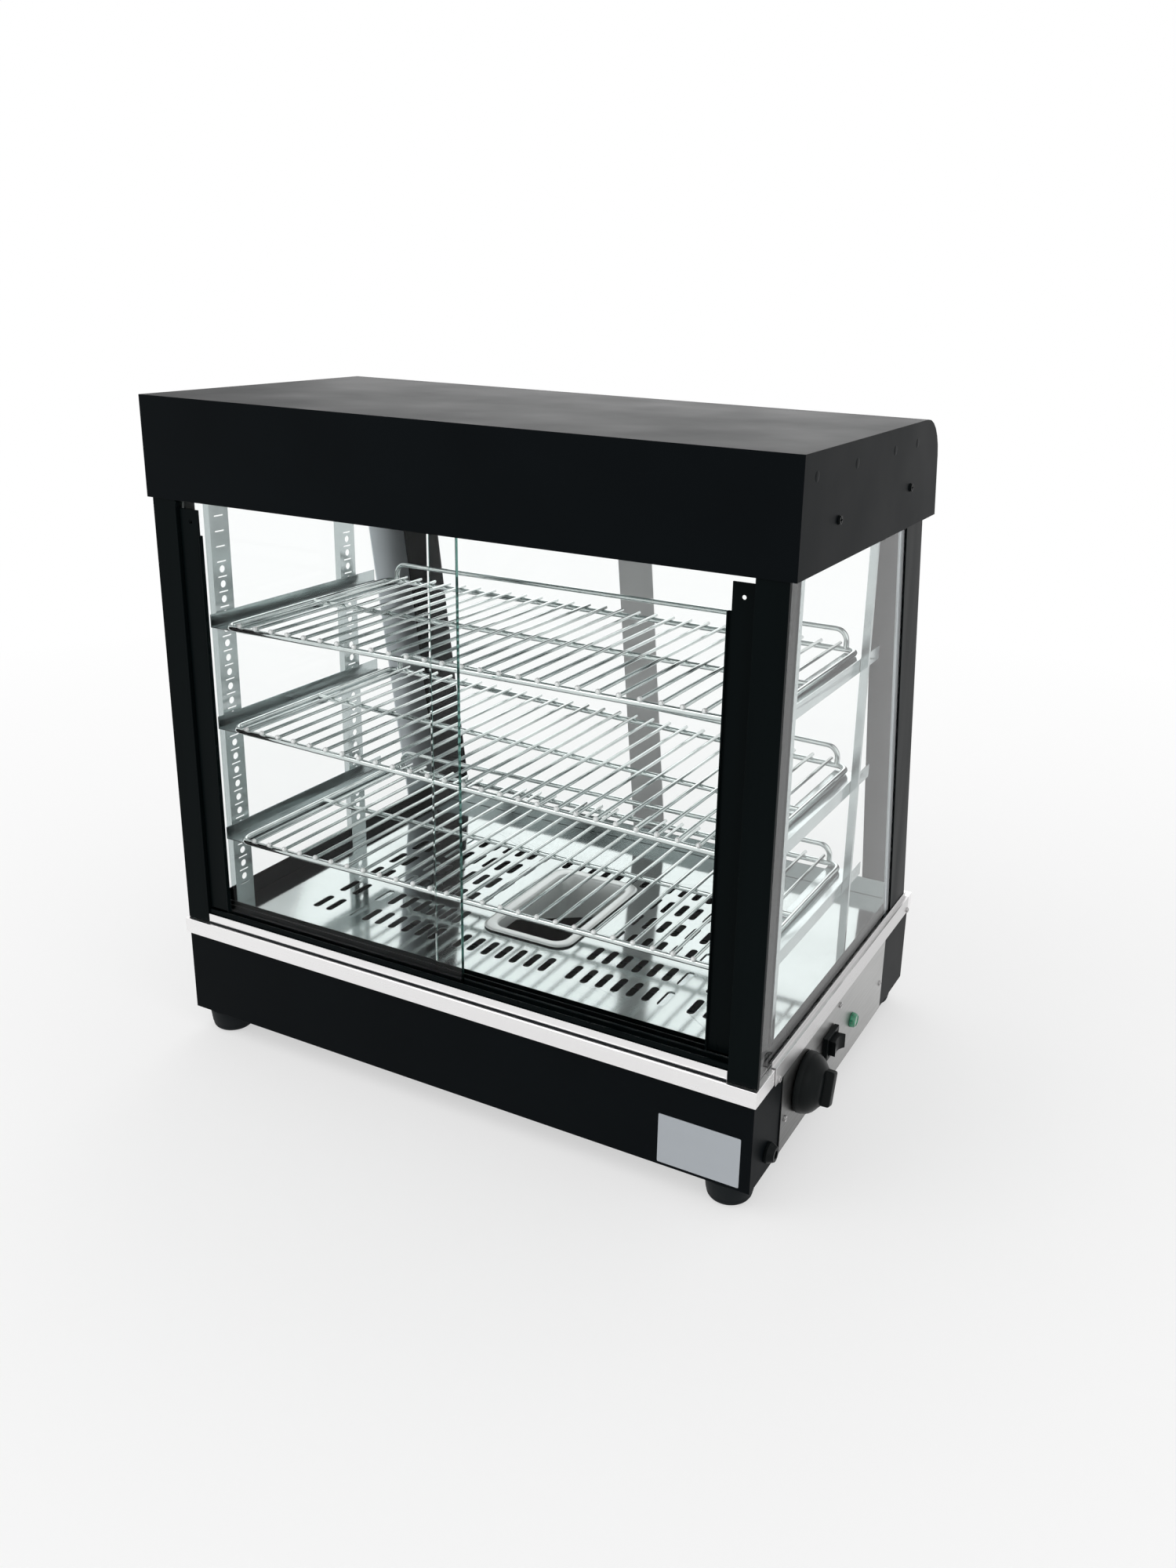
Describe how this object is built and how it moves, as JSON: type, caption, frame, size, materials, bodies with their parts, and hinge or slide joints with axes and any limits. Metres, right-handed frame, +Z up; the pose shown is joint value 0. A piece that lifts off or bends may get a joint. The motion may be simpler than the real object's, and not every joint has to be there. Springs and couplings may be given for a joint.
{
  "type": "heated display case",
  "caption": "Counter-top heated display case: black canopy, sliding operator doors, sloping customer glass, wire shelves over a slotted floor with a water pan.",
  "frame": {"origin": "middle of the bounding box's bottom, on the table top under the feet", "axes": "+X towards the operator's right, where the controls are, +Y towards the customer, +Z up"},
  "size_m": [0.6924, 0.462, 0.675],
  "materials": {
    "black_powder_coat": "satin black powder coat",
    "brushed_stainless": "brushed stainless sheet",
    "polished_stainless": "bright stainless sheet",
    "plain_aluminium": "plain extruded aluminium",
    "chrome_wire": "bright chrome plate",
    "clear_glass": "clear float glass",
    "black_anodised_profile": "satin black profile",
    "black_rubber": "matt black rubber",
    "black_plastic": "satin black moulding",
    "green_lens": "translucent green lens",
    "heater_sheath": "dull heat-tinted steel sheath",
    "white_ceramic": "off-white ceramic or moulded insulator",
    "pale_grey_strip": "pale grey strip",
    "opal_lamp_glass": "opal lamp glass"
  },
  "bodies": {
    "case": {"base_shell": "black_powder_coat", "base_bottom": "black_powder_coat", "chamber_surround": "black_powder_coat", "canopy_shell": "black_powder_coat", "canopy_ceiling": "brushed_stainless", "base_rim": "brushed_stainless", "side_sill_left": "brushed_stainless", "side_sill_right": "brushed_stainless", "door_sill": "brushed_stainless", "control_panel": "brushed_stainless", "floor_tray": "polished_stainless", "foot_front_left": "black_rubber", "foot_front_right": "black_rubber", "foot_back_left": "black_rubber", "foot_back_right": "black_rubber", "front_post_left": "black_anodised_profile", "front_post_right": "black_anodised_profile", "customer_post_left": "black_anodised_profile", "customer_post_right": "black_anodised_profile", "door_track_bottom": "black_anodised_profile", "door_track_top": "black_anodised_profile", "side_glass_left": "clear_glass", "side_glass_right": "clear_glass", "customer_glass": "clear_glass", "glass_retainer_left": "plain_aluminium", "glass_retainer_right": "plain_aluminium", "customer_glass_strip": "pale_grey_strip", "shelf_strip_front_left": "brushed_stainless", "shelf_strip_front_right": "brushed_stainless", "shelf_strip_back_left": "brushed_stainless", "shelf_strip_back_right": "brushed_stainless", "shelf_rail_top_left": "brushed_stainless", "shelf_rail_top_right": "brushed_stainless", "shelf_rail_middle_left": "brushed_stainless", "shelf_rail_middle_right": "brushed_stainless", "shelf_rail_bottom_left": "brushed_stainless", "shelf_rail_bottom_right": "brushed_stainless", "wire_shelf_top": "chrome_wire", "wire_shelf_middle": "chrome_wire", "wire_shelf_bottom": "chrome_wire", "thermostat_body": "black_plastic", "thermostat_bulb": "brushed_stainless", "switch_housing": "black_plastic", "pilot_lens": "green_lens", "pilot_body": "black_plastic", "cable_gland": "black_plastic", "heating_element": "heater_sheath", "heater_hanger_left": "brushed_stainless", "heater_hanger_right": "brushed_stainless", "terminal_block": "white_ceramic", "lamp_holder": "white_ceramic", "lamp_tube": "opal_lamp_glass"},
    "door_left": {"door_glass_left": "clear_glass", "door_handle_left": "black_anodised_profile"},
    "door_right": {"door_glass_right": "clear_glass", "door_handle_right": "black_anodised_profile"},
    "thermostat_knob": {"thermostat_knob": "black_plastic"},
    "rocker_key": {"rocker_key": "black_plastic"},
    "water_pan": {"water_pan": "polished_stainless"}
  },
  "joints": [
    {"name": "door_left_slide", "type": "slide", "parent": "case", "child": "door_left", "axis": [1, 0, 0], "range_m": [0, 0.278]},
    {"name": "door_right_slide", "type": "slide", "parent": "case", "child": "door_right", "axis": [-1, 0, 0], "range_m": [0, 0.278]},
    {"name": "thermostat_turn", "type": "hinge", "parent": "case", "child": "thermostat_knob", "pos_m": [0.31635, -0.107, 0.0745], "axis": [-1, 0, 0], "range_deg": [0, 270]},
    {"name": "rocker_press", "type": "hinge", "parent": "case", "child": "rocker_key", "pos_m": [0.31365, -0.037, 0.079], "axis": [0, 0, 1], "range_deg": [0, 10]},
    {"name": "water_pan_lift", "type": "slide", "parent": "case", "child": "water_pan", "axis": [0, 0, 1], "range_m": [0, 0.06]}
  ]
}
